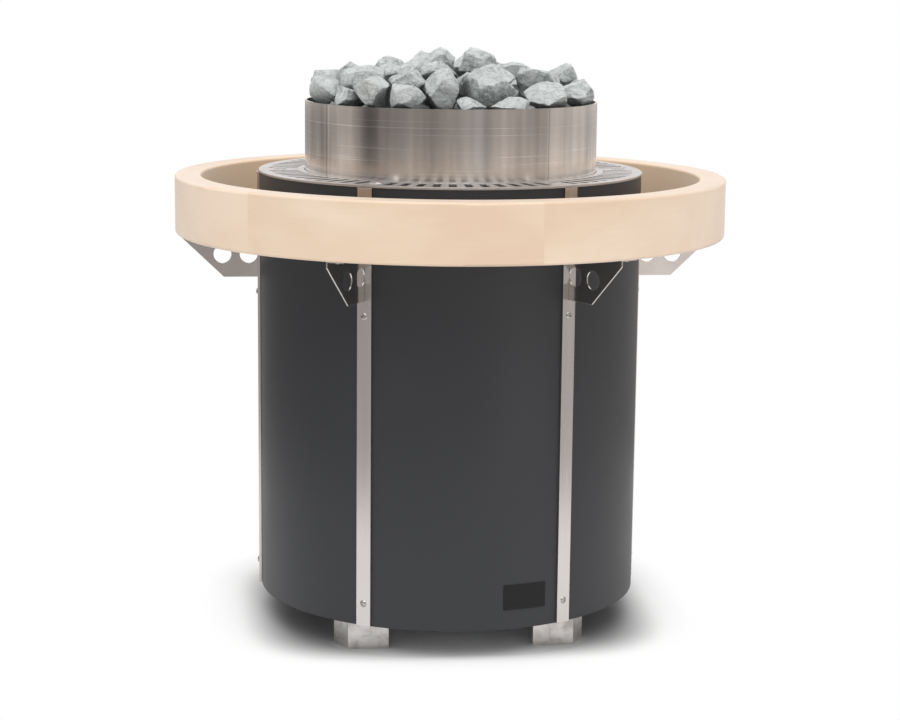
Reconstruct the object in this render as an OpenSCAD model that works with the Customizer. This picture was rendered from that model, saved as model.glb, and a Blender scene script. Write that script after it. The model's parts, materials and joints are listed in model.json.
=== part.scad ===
/* [Body] */
// Outer diameter of the round jacket
body_d = 600; // [590:2:640]
// Height of the jacket from its lower edge to the top plate
body_h = 662; // [620:2:720]
// Thickness of the jacket sheet
jacket_t = 1.5; // [1:0.1:2]
// Open joint between two jacket panels, hidden behind a cover strip
panel_gap = 7; // [6.5:0.5:9]
// Thickness of the base plate
base_t = 3; // [2:0.5:5]

/* [Legs] */
// Height of the legs, which is the free space under the body
leg_h = 45; // [36:1:70]
// Thickness of the leg sheet
leg_t = 3; // [2:0.5:4]
// Width of the leg's web, which faces the front or the rear
leg_web_w = 62; // [56:1:70]
// Width of the leg's outer flange
leg_flange_w = 42; // [34:1:46]
// Width of the flange folded back at the leg's inner edge
leg_return_w = 28; // [26:1:34]
// Angle that the outer flange is folded back by
leg_bend = 62; // [50:1:70]
// Distance from the jacket's face in to the leg's outer corner
leg_inset = 10; // [8:1:18]
// Azimuth of the leg's outer corner
leg_corner_az = 36.6; // [34:0.2:40]
// Corner cut off the web beside the return flange
leg_chamfer = 6; // [3:1:10]

/* [Uprights] */
// Width of an upright
post_w = 40; // [36:1:50]
// Sheet thickness of an upright
post_t = 1.8; // [1.5:0.1:2.5]
// Depth of an upright's side flanges
post_depth = 13; // [10:0.5:15]

/* [Cover strips] */
// Width of a cover strip
strip_w = 23; // [20:0.5:30]
// Distance that a cover strip stands proud of the jacket
strip_proud = 4; // [3:0.5:6]
// Sheet thickness of a cover strip
strip_t = 1.5; // [1:0.1:2]
// Diameter of the strip screws
strip_screw_d = 5; // [4:0.5:6]
// Height of the lower strip screw over the strip's lower edge
strip_screw_low = 35; // [25:1:80]
// Drop from the bracket's lower edge to the upper strip screw
strip_screw_drop = 23; // [12:1:60]

/* [Guard rail] */
// Clear gap between the jacket and the wooden guard rail
rail_gap = 91; // [78:1:110]
// Thickness of the rail wood
rail_t = 41; // [36:1:46]
// Height of the rail wood
rail_h = 90; // [70:1:100]
// Radius on the rail's long edges
rail_round = 4; // [1:0.5:8]
// Drop from the top plate's face to the rail's upper edge
rail_drop = 7; // [0:1:20]
// Azimuth of the first glued joint in the rail
rail_joint_az = 12; // [8:0.5:16]

/* [Rail brackets] */
// Sheet thickness of a bracket
bracket_t = 2; // [1.5:0.1:2.5]
// Height of a bracket's web under the rail
bracket_h = 73; // [66:1:90]
// Distance from the rail's outer face in to the bracket's tip
bracket_tip_inset = 9; // [3:1:16]
// Height of the upright edge at the bracket's tip
bracket_tip_h = 10; // [6:1:20]
// Width of the bracket's lower edge outside the cover strip
bracket_foot_w = 53; // [41:1:68]
// Diameter of the two lightening holes in a bracket
bracket_hole_d = 28; // [20:0.5:30]
// Distance from the cover strip's face to the middle of the inner lightening hole
bracket_hole_out = 14; // [6:1:16]
// Distance between the two lightening holes
bracket_hole_pitch = 41; // [38:1:44]
// Drop from the rail's underside to the lightening holes
bracket_hole_drop = 37; // [28:1:42]
// Width of the flange under the rail
bracket_flange_w = 28; // [20:1:34]

/* [Top plate] */
// Thickness of the slotted top plate
plate_t = 3; // [2:0.5:4]
// Overhang of the top plate past the jacket
plate_overhang = 1.5; // [0.5:0.5:3]
// Width of an air slot
slot_w = 12; // [8:0.5:13]
// Bare margin between the drum and the slots
slot_margin_in = 11; // [8:1:14]
// Bare margin between the slots and the plate's edge
slot_margin_out = 14; // [12:1:18]
// Distance from the jacket's face in to the plate screws
plate_screw_inset = 32; // [28:1:36]
// Diameter of the domed heads of the plate screws
plate_head_d = 22; // [16:1:23]
// Diameter of the plate screws' shanks
plate_screw_d = 6; // [5:0.5:8]

/* [Stone drum] */
// Width of the round air duct between the jacket's face and the drum
duct_w = 71; // [68:1:80]
// Sheet thickness of the stone drum
drum_t = 1.5; // [1:0.1:2]
// Height of the drum's rim over the top plate
drum_rise = 108; // [90:1:120]
// Depth from the drum's rim to the stone grate
stone_depth = 218; // [210:1:230]
// Depth of the rolled bead that carries the grate
bead_d = 11; // [8:0.5:14]
// Thickness of the stone grate
grate_t = 4; // [3:0.5:6]
// Diameter of the round windows near the drum's lower end
window_d = 34; // [26:1:40]

/* [Heating] */
// Diameter of the heating tubes
tube_d = 8; // [6.5:0.5:8.5]
// Distance between the runs of one heating element
tube_pitch = 36; // [30:1:38]
// Drop from the top plate to the upper bends of the heating elements
element_drop = 57; // [45:1:140]
// Height of the carrier ring over the base plate
carrier_rise = 132; // [120:1:150]
// Thickness of the heat shield
shield_t = 1; // [0.8:0.1:1.2]
// Diameter of the leads inside the body
lead_d = 4; // [3:0.5:5]

/* [Connection] */
// Diameter of the round terminal box
box_d = 200; // [180:5:240]
// Height of the terminal box
box_h = 70; // [64:1:90]
// Diameter of the ceramic terminal block
block_d = 120; // [100:2:140]
// Bore of the cable gland
gland_bore_d = 13; // [8:0.5:14]
// Thread diameter of the cable gland
gland_thread_d = 20; // [18:0.5:24]

/* [Badge] */
// Width of the blank badge plate, measured round the jacket
badge_w = 68; // [50:1:80]
// Height of the blank badge plate
badge_h = 38; // [30:1:50]
// Azimuth of the badge's middle
badge_az = 17.4; // [12:0.2:18]
// Height of the badge's lower edge over the jacket's lower edge
badge_rise = 30; // [20:1:80]

/* [Stones] */
// Mean size of the upper stones
stone_d = 62; // [56:1:66]
// Clear gap between stones that lie on each other
stone_gap = 0.3; // [0.2:0.05:0.4]

/* [Hidden] */
$fn = 96;

// Clearance between pieces that lie against each other
fit = 0.2;
// Overrun of every cut past the faces that it opens
over = 1;
// Clearance round a screw or bolt in its hole, on the radius
hole_play = 0.2;

// Six equal sectors, with a cover strip and an upright between two panels
sectors = 6;
sector = 360 / sectors;
body_r = body_d / 2;
jacket_in = body_r - jacket_t;
base_top = leg_h + base_t;
deck_z = leg_h + body_h;
plate_top = deck_z + plate_t;
panel_edge_az = asin(panel_gap / 2 / body_r);
plate_screw_r = body_r - plate_screw_inset;

// The uprights stand just inside the jacket, and the heat shield inside them
post_r = jacket_in - fit;
post_flat_r = sqrt(post_r * post_r - post_w * post_w / 4);
post_in = post_r - post_t;
shield_r = post_flat_r - post_depth - fit;
shield_in = shield_r - shield_t;
shield_top = deck_z - post_t - fit;
tab_r = plate_screw_r - plate_head_d / 2;

// Cover strips
strip_face = body_r + strip_proud;
strip_top = deck_z - fit;
pan_d = 2 * strip_screw_d;
pan_h = 0.6 * strip_screw_d;

// Guard rail and its brackets
rail_in = body_r + rail_gap;
rail_r = rail_in + rail_t;
rail_top = plate_top - rail_drop;
rail_z = rail_top - rail_h;
bracket_low = rail_z - bracket_h;
bracket_tip_r = rail_r - bracket_tip_inset;
bracket_foot_r = strip_face + bracket_foot_w;
bracket_hole_r = strip_face + bracket_hole_out;
strip_screw_z = [leg_h + strip_screw_low, bracket_low - strip_screw_drop];
bracket_in = sqrt(post_in * post_in - bracket_flange_w * bracket_flange_w / 4) - fit;
rear_flange_w = bracket_flange_w / 2;
rear_bolt_share = 0.62;
wood_screw_d = 4;
wood_screw_depth = rail_h / 3;
bracket_bolt_shares = [0.2, 0.8];
rail_screw_shares = [0.3, 0.75];

// Stone drum, with windows at the height where the leads run in
lead_rise = 37;
window_z = base_top + lead_rise;
drum_r = body_r - duct_w;
drum_in = drum_r - drum_t;
rim_z = plate_top + drum_rise;
grate_z = rim_z - stone_depth;
hem_t = drum_t;
hem_h = 4 * drum_t;
drum_play = 1;
bead_h = 1.6 * bead_d;
drum_foot_w = 8 * drum_t;

// Heating elements in the ring-shaped air duct between drum and shield
element_r = (drum_r + shield_in) / 2 - tube_pitch / 20;
terminal_y = 1.5 * tube_pitch;
terminal_r = norm([element_r, terminal_y]);
terminal_az = atan(terminal_y / element_r);
carrier_z = base_top + carrier_rise;
element_top = deck_z - element_drop;
carrier_t = 2;
carrier_play = 3;
carrier_leg_w = 20;
bead_ceramic_d = 1.5 * tube_d;
bead_ceramic_h = 14;
stud_d = tube_d / 2;
stud_h = 26;
lead_bend = 4 * lead_d;
duct_window_az = [6, 20];

// Connection
box_r = box_d / 2;
box_t = 1.5;
block_r = block_d / 2;
block_h = 26;
block_z = base_top + lead_rise - block_h / 2;
block_foot_d = 14;
block_feet = 3;
gland_hex_d = 1.5 * gland_thread_d;
gland_body_h = 0.8 * gland_thread_d;
gland_cap_h = 0.5 * gland_thread_d;
locknut_h = 5;

// Fasteners of the legs
leg_bolt_d = 8;
leg_bolt_shares = [0.25, 0.72];
leg_bolt_in = 14;

// Air slots every five degrees, none where a plate screw stands
slot_step = 5;
slots = 360 / slot_step;

// Stones: x and y as shares of the drum's inner radius, then the height over the
// rim, the width and the stone's own height in mean stone sizes
upper_shares = [
    [-0.885, -0.13, 0.28, 0.74, 0.66], [-0.74, -0.50, 0.10, 0.70, 0.60],
    [-0.575, -0.63, 0.32, 0.80, 0.80], [-0.375, -0.75, 0.26, 0.82, 0.74],
    [-0.14, -0.70, 0.45, 0.80, 0.94], [0.185, -0.62, 0.42, 1.46, 0.94],
    [0.02, -0.91, 0.03, 0.46, 0.40], [0.35, -0.83, 0.05, 0.64, 0.46],
    [0.575, -0.59, 0.25, 1.00, 0.72], [0.785, -0.39, 0.24, 0.64, 0.76],
    [0.90, -0.115, 0.18, 0.68, 0.70], [-0.645, -0.27, 0.60, 0.90, 0.76],
    [-0.82, 0.22, 0.42, 0.84, 0.70], [-0.345, -0.45, 0.58, 0.68, 0.56],
    [-0.44, 0.045, 0.62, 0.72, 0.58], [-0.26, -0.20, 0.76, 0.60, 0.50],
    [-0.085, 0.01, 0.96, 0.74, 0.62], [0.185, 0.005, 0.96, 1.00, 0.60],
    [0.43, 0.18, 0.66, 0.76, 0.60], [0.57, -0.19, 0.60, 0.88, 0.58],
    [0.82, 0.11, 0.56, 0.66, 0.66], [-0.155, -0.32, 0.58, 0.84, 0.84],
    [0.235, -0.31, 0.55, 0.92, 0.84], [-0.62, 0.42, 0.35, 0.94, 0.84],
    [-0.385, 0.37, 0.55, 0.94, 0.84], [-0.125, 0.30, 0.76, 0.94, 0.80],
    [0.165, 0.30, 0.78, 0.94, 0.80], [0.43, 0.47, 0.46, 0.96, 0.84],
    [0.71, 0.40, 0.30, 0.94, 0.80], [-0.46, 0.69, 0.16, 0.92, 0.84],
    [-0.20, 0.62, 0.42, 0.98, 0.84], [0.085, 0.61, 0.46, 0.96, 0.84],
    [0.365, 0.74, 0.19, 0.90, 0.84], [0.58, 0.65, 0.13, 0.86, 0.80],
    [0.02, 0.865, 0.13, 0.86, 0.80], [-0.225, 0.865, 0.06, 0.80, 0.76],
    [-0.67, 0.60, 0.08, 0.78, 0.76]];
// Layers under the heap: height over the grate as a share of the stone depth,
// ring radii as shares of the inner radius, and stones in each ring
layer_shares = [
    [0.19, [0.10, 0.46, 0.81], [2, 7, 13]],
    [0.51, [0.12, 0.47, 0.81], [2, 7, 13]],
    [0.80, [0.01, 0.29, 0.58, 0.86], [1, 6, 11, 17]],
    [1.02, [0.12, 0.42], [2, 6]]];
jitter_share = 0.045;
facet_share = [0.50, 0.66];
facet_points = 12;
contact_share = 1.5;

// Places a piece at an azimuth: x points outwards there and y runs round
module at_az(a) { rotate([0, 0, a - 90]) children(); }

// Sheet rolled to a part of a circle, between two azimuths
module arc_sheet(r, t, z, h, a0, a1) {
    at_az(a0) translate([0, 0, z]) rotate_extrude(angle = a1 - a0)
        translate([r - t, 0]) square([t, h]);
}

// Curved plate of a given width, cut out of a ring at azimuth zero
module curved_plate(r, t, w, z, h) {
    intersection() {
        ring(r, r - t, z, h);
        translate([r / 2, -w / 2, z - over]) cube([r, w, h + 2 * over]);
    }
}

module ring(r_out, r_in, z, h) {
    translate([0, 0, z]) difference() {
        cylinder(r = r_out, h = h);
        translate([0, 0, -over]) cylinder(r = r_in, h = h + 2 * over);
    }
}

// Domed screw head with its flat face on z = 0
module dome(d, h) {
    ball = (d * d / 4 + h * h) / (2 * h);
    rotate_extrude() intersection() {
        translate([0, h - ball]) circle(r = ball);
        square([d / 2, h]);
    }
}

// Hexagonal ring, a nut
module nut(d, h, bore_d) {
    difference() {
        cylinder(d = d, h = h, $fn = 6);
        translate([0, 0, -over]) cylinder(d = bore_d, h = h + 2 * over);
    }
}

function strip_az(i) = sector / 2 + i * sector;

// Base plate
module base_plate() {
    color("#6f7274") difference() {
        translate([0, 0, leg_h]) cylinder(r = post_r, h = base_t);
        translate([0, 0, leg_h - over]) cylinder(d = gland_thread_d + 2 * hole_play, h = base_t + 2 * over);
        for (i = [0 : sectors - 1], s = [-1, 1])
            duct_window(i * sector, s);
        for (sx = [-1, 1], sy = [-1, 1], p = leg_bolt_places())
            translate([sx * p[0], sy * p[1], leg_h - over])
                cylinder(d = leg_bolt_d + 2 * hole_play, h = base_t + 2 * over);
        for (i = [0 : sectors - 1])
            at_az(strip_az(i)) translate([(box_r + drum_in - drum_foot_w) / 2, 0, leg_h - over])
                cylinder(d = window_d, h = base_t + 2 * over);
    }
}

// Air window in the base plate, on one side of a carrier leg
module duct_window(a, s) {
    from = a + min(s * duct_window_az[0], s * duct_window_az[1]);
    arc_sheet(shield_in - drum_foot_w, shield_in - drum_r - 2 * drum_foot_w, leg_h - over,
        base_t + 2 * over, from, from + duct_window_az[1] - duct_window_az[0]);
}

// Legs: sheet folded in three, closed by a top flange under the base plate
function leg_corner() = (body_r - leg_inset) * [sin(leg_corner_az), -cos(leg_corner_az)];
function leg_inner() = leg_corner() - [leg_web_w, 0];
function leg_bolt_places() = [for (s = leg_bolt_shares)
    leg_inner() + [s * leg_web_w, leg_t + leg_bolt_in]];

module leg(sx, sy) {
    c = leg_corner();
    p = leg_inner();
    fold = [cos(leg_bend), sin(leg_bend)];
    side = [-sin(leg_bend), cos(leg_bend)];
    outer = [p + [0, leg_return_w], p, c, c + leg_flange_w * fold];
    inner = [c + leg_flange_w * fold + leg_t * side, c + leg_t * [-tan(leg_bend / 2), 1],
        p + [leg_t, leg_t], p + [leg_t, leg_return_w]];
    color("#b9b4ae") scale([sx, -sy, 1]) difference() {
        union() {
            linear_extrude(leg_h) polygon(concat(outer, inner));
            translate([0, 0, leg_h - leg_t]) linear_extrude(leg_t) polygon(outer);
        }
        translate([p[0], p[1] + leg_t, leg_h]) rotate([90, 0, 0])
            translate([0, 0, -over]) linear_extrude(leg_t + 2 * over)
                polygon([[-over, over], [leg_chamfer, over], [leg_chamfer, 0], [0, -leg_chamfer],
                    [-over, -leg_chamfer]]);
        for (q = leg_bolt_places())
            translate([q[0], q[1], leg_h - leg_t - over])
                cylinder(d = leg_bolt_d + 2 * hole_play, h = leg_t + 2 * over);
    }
}

// Bolts and nuts that hold the legs to the base plate
module leg_bolts() {
    hex_d = 1.8 * leg_bolt_d;
    head = 0.66 * leg_bolt_d;
    color("#a9abac") for (sx = [-1, 1], sy = [-1, 1], p = leg_bolt_places())
        translate([sx * p[0], sy * p[1], 0]) {
            translate([0, 0, leg_h - leg_t - head]) cylinder(d = hex_d, h = head, $fn = 6);
            translate([0, 0, leg_h - leg_t]) cylinder(d = leg_bolt_d, h = leg_t + base_t + 1.2 * leg_bolt_d);
            translate([0, 0, base_top]) nut(hex_d, 0.8 * leg_bolt_d, leg_bolt_d + hole_play);
        }
}

// Jacket panels
module panel(i) {
    color("#43474a") arc_sheet(body_r, jacket_t, leg_h, body_h - fit,
        i * sector - sector / 2 + panel_edge_az, i * sector + sector / 2 - panel_edge_az);
}

// Uprights: a curved face, two side flanges and a tab under the top plate
module upright(i) {
    flange_out = sqrt(post_in * post_in - post_w * post_w / 4) + post_t / 2;
    h = deck_z - base_top;
    color("#9a9ea0") at_az(strip_az(i)) difference() {
        union() {
            curved_plate(post_r, post_t, post_w, base_top, h);
            for (y = [-post_w / 2, post_w / 2 - post_t])
                translate([post_flat_r - post_depth, y, base_top])
                    cube([flange_out - post_flat_r + post_depth, post_t, h]);
            translate([tab_r, -post_w / 2, deck_z - post_t])
                cube([flange_out - tab_r, post_w, post_t]);
        }
        bracket_slot(post_in - post_t, post_r + over);
        strip_screw_holes(strip_screw_d + 2 * hole_play);
        bracket_bolt_holes();
        translate([plate_screw_r, 0, deck_z - post_t - over])
            cylinder(d = plate_screw_d + 2 * hole_play, h = post_t + 2 * over);
    }
}

// Cuts that the uprights, strips and brackets share, at azimuth zero
module bracket_slot(r0, r1) {
    translate([r0, -bracket_t / 2 - fit, bracket_low - fit])
        cube([r1 - r0, bracket_t + 2 * fit, bracket_h + 2 * fit]);
}

module strip_screw_holes(d) {
    for (z = strip_screw_z)
        translate([post_in - post_t, 0, z]) rotate([0, 90, 0])
            cylinder(d = d, h = strip_face - post_in + post_t + over);
}

module bracket_bolt_holes() {
    for (s = bracket_bolt_shares)
        translate([bracket_in - bracket_t - over, rear_bolt_share * rear_flange_w,
            bracket_low + s * bracket_h]) rotate([0, 90, 0])
                cylinder(d = wood_screw_d + 2 * hole_play, h = post_r - bracket_in + bracket_t + 2 * over);
}

// Cover strips: shallow channels whose lips press the panel edges
module strip(i) {
    h = strip_top - leg_h;
    color("#cfcbc6") at_az(strip_az(i)) difference() {
        union() {
            translate([strip_face - strip_t, -strip_w / 2, leg_h]) cube([strip_t, strip_w, h]);
            for (y = [-strip_w / 2, strip_w / 2 - strip_t])
                translate([body_r, y, leg_h]) cube([strip_proud, strip_t, h]);
        }
        bracket_slot(body_r, strip_face + over);
        strip_screw_holes(strip_screw_d + 2 * hole_play);
    }
}

module strip_screws() {
    color("#c4c4c2") for (i = [0 : sectors - 1], z = strip_screw_z)
        at_az(strip_az(i)) translate([strip_face, 0, z]) rotate([0, 90, 0]) {
            dome(pan_d, pan_h);
            translate([0, 0, post_in - strip_face]) cylinder(d = strip_screw_d, h = strip_face - post_in);
        }
}

// Rail brackets: a web with two lightening holes, a flange under the rail and
// a flange behind the upright
module bracket(i) {
    color("#c2bfba") at_az(strip_az(i)) difference() {
        union() {
            rotate([90, 0, 0]) translate([0, 0, -bracket_t / 2]) linear_extrude(bracket_t) difference() {
                polygon([[bracket_in - bracket_t, bracket_low], [bracket_foot_r, bracket_low],
                    [bracket_tip_r, rail_z - bracket_tip_h], [bracket_tip_r, rail_z],
                    [bracket_in - bracket_t, rail_z]]);
                for (k = [0, 1])
                    translate([bracket_hole_r + k * bracket_hole_pitch, rail_z - bracket_hole_drop])
                        circle(d = bracket_hole_d);
            }
            translate([rail_in, -bracket_t / 2, rail_z - bracket_t])
                cube([bracket_tip_r - rail_in, bracket_flange_w, bracket_t]);
            translate([bracket_in - bracket_t, -bracket_t / 2, bracket_low])
                cube([bracket_t, rear_flange_w, bracket_h]);
        }
        bracket_bolt_holes();
        rail_screw_holes(wood_screw_d + 2 * hole_play, bracket_t);
    }
}

// Screw places under the rail, drawn from below the bracket's flange
module rail_screw_holes(d, depth) {
    for (s = rail_screw_shares)
        translate([rail_in + s * (bracket_tip_r - rail_in), bracket_flange_w / 2, rail_z - bracket_t - over])
            cylinder(d = d, h = depth + bracket_t + over);
}

// Wood screws up into the rail, and the screws that hold a bracket's rear flange
module bracket_fasteners() {
    head_d = 2 * wood_screw_d;
    head_h = 0.6 * wood_screw_d;
    color("#b0b1b0") for (i = [0 : sectors - 1]) at_az(strip_az(i)) {
        for (s = rail_screw_shares)
            translate([rail_in + s * (bracket_tip_r - rail_in), bracket_flange_w / 2, rail_z - bracket_t]) {
                cylinder(d = wood_screw_d, h = bracket_t + wood_screw_depth);
                rotate([180, 0, 0]) dome(head_d, head_h);
            }
        for (s = bracket_bolt_shares)
            translate([bracket_in - bracket_t, rear_bolt_share * rear_flange_w, bracket_low + s * bracket_h])
                rotate([0, 90, 0]) {
                    cylinder(d = wood_screw_d, h = post_r - bracket_in + bracket_t - post_t / 2);
                    rotate([180, 0, 0]) dome(head_d, head_h);
                }
    }
}

// Guard rail: six glued segments with rounded edges
module rail_profile() {
    w = rail_t - 2 * rail_round;
    h = rail_h - 2 * rail_round;
    translate([rail_in + rail_round, rail_z + rail_round]) {
        translate([-rail_round, 0]) square([rail_t, h]);
        translate([0, -rail_round]) square([w, rail_h]);
        for (x = [0, w], z = [0, h]) translate([x, z]) circle(r = rail_round);
    }
}

module rail_segment(i) {
    color("#e8d2b8") difference() {
        at_az(rail_joint_az + i * sector) rotate_extrude(angle = sector) rail_profile();
        for (k = [0 : sectors - 1]) at_az(strip_az(k))
            rail_screw_holes(wood_screw_d + hole_play, wood_screw_depth);
    }
}

// Top plate with radial air slots
module top_plate() {
    r0 = drum_r + slot_margin_in;
    r1 = body_r - slot_margin_out;
    color("#bdbfc1") difference() {
        ring(body_r + plate_overhang, drum_r + drum_play, deck_z, plate_t);
        for (i = [0 : slots - 1]) if ((i * slot_step + sector / 2) % sector != 0)
            at_az(i * slot_step) translate([r0, -slot_w / 2, deck_z - over])
                cube([r1 - r0, slot_w, plate_t + 2 * over]);
        for (i = [0 : sectors - 1]) at_az(strip_az(i)) translate([plate_screw_r, 0, deck_z - over])
            cylinder(d = plate_screw_d + 2 * hole_play, h = plate_t + 2 * over);
    }
}

module plate_screws() {
    color("#c9cacb") for (i = [0 : sectors - 1])
        at_az(strip_az(i)) translate([plate_screw_r, 0, plate_top]) {
            dome(plate_head_d, plate_head_d / 6);
            translate([0, 0, -plate_t - post_t]) cylinder(d = plate_screw_d, h = plate_t + post_t);
        }
}

// Stone drum: a rolled sheet with a hem, a bead that carries the grate and a
// foot flange, open to the air near its lower end
module stone_drum() {
    bead_out = drum_r - bead_d;
    z1 = grate_z - bead_h;
    wall = [[drum_in, rim_z - hem_h], [drum_in - hem_t, rim_z - hem_h], [drum_in - hem_t, rim_z],
        [drum_r, rim_z], [drum_r, grate_z - drum_t], [bead_out, grate_z - drum_t],
        [bead_out, z1 + bead_d / 2 + drum_t], [drum_r, z1 + drum_t], [drum_r, base_top],
        [drum_in - drum_foot_w, base_top], [drum_in - drum_foot_w, base_top + drum_t],
        [drum_in, base_top + drum_t], [drum_in, z1], [bead_out - drum_t, z1 + bead_d / 2],
        [bead_out - drum_t, grate_z], [drum_in, grate_z]];
    color("#a8a39e") difference() {
        rotate_extrude() polygon(wall);
        for (i = [0 : sectors - 1], s = [-1, 1])
            at_az(i * sector + s * terminal_az) translate([drum_in - drum_t, 0, window_z])
                rotate([0, 90, 0]) cylinder(d = window_d, h = 3 * drum_t);
    }
}

// Stone grate: rows of slots on both sides of a middle rib
module stone_grate() {
    r = drum_in - fit;
    rib = 2.5 * grate_t;
    slot = 2.5 * grate_t;
    rows = floor((r - 3 * slot) / (2.4 * slot));
    color("#8d8f90") difference() {
        translate([0, 0, grate_z]) cylinder(r = r, h = grate_t);
        for (k = [-rows : rows], s = [-1, 1]) {
            y = k * 2.4 * slot;
            reach = sqrt(r * r - pow(abs(y) + slot, 2)) - slot - rib;
            translate([s < 0 ? -rib / 2 - reach : rib / 2, y - slot / 2, grate_z - over])
                cube([reach, slot, grate_t + 2 * over]);
        }
    }
}

// Heat shield between the air duct and the jacket
module heat_shield() {
    color("#b4b6b7") ring(shield_r, shield_in, base_top, shield_top - base_top);
}

// Carrier ring of the heating elements, on six bent legs
module element_carrier() {
    leg_r = drum_r + carrier_play + carrier_t;
    color("#9fa1a2") {
        difference() {
            ring(shield_in - carrier_play, drum_r + carrier_play, carrier_z, carrier_t);
            for (i = [0 : sectors - 1], s = [-1, 1]) {
                at_az(i * sector) translate([element_r, s * terminal_y, carrier_z - over])
                    cylinder(d = tube_d + 2 * hole_play, h = carrier_t + 2 * over);
                carrier_window(i * sector + s * sector / 2);
                carrier_window(i * sector);
            }
        }
        for (i = [0 : sectors - 1])
            at_az(i * sector) translate([leg_r - carrier_t, -carrier_leg_w / 2, base_top])
                cube([carrier_t, carrier_leg_w, carrier_rise + carrier_t / 2]);
    }
}

module carrier_window(a) {
    half = terminal_az / 2;
    arc_sheet(shield_in - 3 * carrier_play, shield_in - drum_r - 7 * carrier_play, carrier_z - over,
        carrier_t + 2 * over, a - half, a + half);
}

// Heating element: a tube bent up, down, up and down between two terminals
module heating_element(i) {
    bend = tube_pitch / 2;
    top = element_top - tube_d / 2 - bend;
    low = carrier_z + tube_pitch + bend;
    color("#4c4a48") at_az(i * sector) translate([element_r, 0, 0]) {
        for (s = [-1, 1]) {
            translate([0, s * terminal_y, carrier_z]) cylinder(d = tube_d, h = top - carrier_z);
            translate([0, s * bend, low]) cylinder(d = tube_d, h = top - low);
            translate([0, s * tube_pitch, top]) tube_bend(bend, 0);
            translate([0, s * terminal_y, carrier_z - stud_h]) cylinder(d = stud_d, h = stud_h + over);
        }
        translate([0, 0, low]) tube_bend(bend, 180);
    }
}

// Half a turn of tube that stands upright, turned by an angle about its middle
module tube_bend(r, turn) {
    rotate([90, 0, 90]) rotate([0, 0, turn]) rotate_extrude(angle = 180)
        translate([r, 0]) circle(d = tube_d);
}

module terminal_insulators() {
    color("#ece6da") for (i = [0 : sectors - 1], s = [-1, 1])
        at_az(i * sector) translate([element_r, s * terminal_y, carrier_z - bead_ceramic_h - fit])
            difference() {
                cylinder(d = bead_ceramic_d, h = bead_ceramic_h);
                translate([0, 0, -over]) cylinder(d = stud_d + fit, h = bead_ceramic_h + 2 * over);
            }
}

// Leads from the element studs down and in through the drum's windows
module internal_leads() {
    z0 = base_top + lead_rise;
    z1 = carrier_z - stud_h - fit;
    color("#b5523a") for (i = [0 : sectors - 1], s = [-1, 1])
        at_az(i * sector + s * terminal_az) {
            translate([terminal_r, 0, z0 + lead_bend]) cylinder(d = lead_d, h = z1 - z0 - lead_bend);
            translate([terminal_r - lead_bend, 0, z0 + lead_bend]) rotate([90, 0, 0]) rotate([0, 0, -90])
                rotate_extrude(angle = 90) translate([lead_bend, 0]) circle(d = lead_d);
            translate([block_r + fit, 0, z0]) rotate([0, 90, 0])
                cylinder(d = lead_d, h = terminal_r - lead_bend - block_r - fit);
        }
}

// Round terminal box with its lid and the ceramic terminal block
module terminal_box() {
    color("#8b8e90") difference() {
        translate([0, 0, base_top]) cylinder(r = box_r, h = box_h);
        translate([0, 0, base_top + box_t]) cylinder(r = box_r - box_t, h = box_h);
        translate([0, 0, base_top - over])
            cylinder(d = gland_thread_d + 2 * hole_play, h = box_t + 2 * over);
        for (i = [0 : sectors - 1], s = [-1, 1])
            at_az(i * sector + s * terminal_az) translate([box_r - 2 * box_t, 0, base_top + lead_rise])
                rotate([0, 90, 0]) cylinder(d = lead_d + 2 * hole_play, h = 3 * box_t);
    }
}

module terminal_box_lid() {
    skirt = 8 * box_t;
    color("#7f8284") difference() {
        translate([0, 0, base_top + box_h - skirt]) cylinder(r = box_r + box_t + fit, h = skirt + box_t);
        translate([0, 0, base_top + box_h - skirt - over]) cylinder(r = box_r + fit, h = skirt + over);
    }
}

module terminal_block() {
    boss_d = block_d / 12;
    color("#efe9dc") {
        translate([0, 0, block_z]) cylinder(r = block_r, h = block_h);
        for (i = [0 : block_feet - 1])
            at_az(i * 360 / block_feet) translate([block_r - block_foot_d, 0, base_top + box_t])
                cylinder(d = block_foot_d, h = block_z + block_h / 3 - base_top - box_t);
        for (i = [0 : sectors - 1], s = [-1, 1])
            at_az(i * sector + s * terminal_az) translate([block_r - boss_d, 0, block_z + block_h / 2])
                cylinder(d = boss_d, h = block_h / 2 + boss_d / 2);
    }
}

// Cable gland in the middle of the base plate, with its locknut in the box
module cable_gland() {
    floor_z = base_top + box_t;
    color("#2c2d2e") {
        difference() {
            union() {
                translate([0, 0, leg_h - gland_body_h]) cylinder(d = gland_hex_d, h = gland_body_h, $fn = 6);
                translate([0, 0, leg_h - gland_body_h - gland_cap_h])
                    cylinder(d1 = 0.7 * gland_hex_d, d2 = 0.85 * gland_hex_d, h = gland_cap_h);
                translate([0, 0, leg_h - over])
                    cylinder(d = gland_thread_d, h = floor_z + locknut_h - leg_h + 2 * over);
            }
            translate([0, 0, leg_h - gland_body_h - gland_cap_h - over]) cylinder(d = gland_bore_d,
                h = floor_z + locknut_h + gland_body_h + gland_cap_h + 4 * over - leg_h);
        }
        translate([0, 0, floor_z]) nut(gland_hex_d, locknut_h, gland_thread_d + hole_play);
    }
}

// Blank badge plate with a narrow raised border
module badge_plate() {
    border = badge_h / 16;
    t = jacket_t;
    color("#17181a") at_az(badge_az) difference() {
        curved_plate(body_r + fit + t, t, badge_w, leg_h + badge_rise, badge_h);
        curved_plate(body_r + fit + t + over, t / 3 + over, badge_w - 2 * border,
            leg_h + badge_rise + border, badge_h - 2 * border);
    }
}

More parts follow.
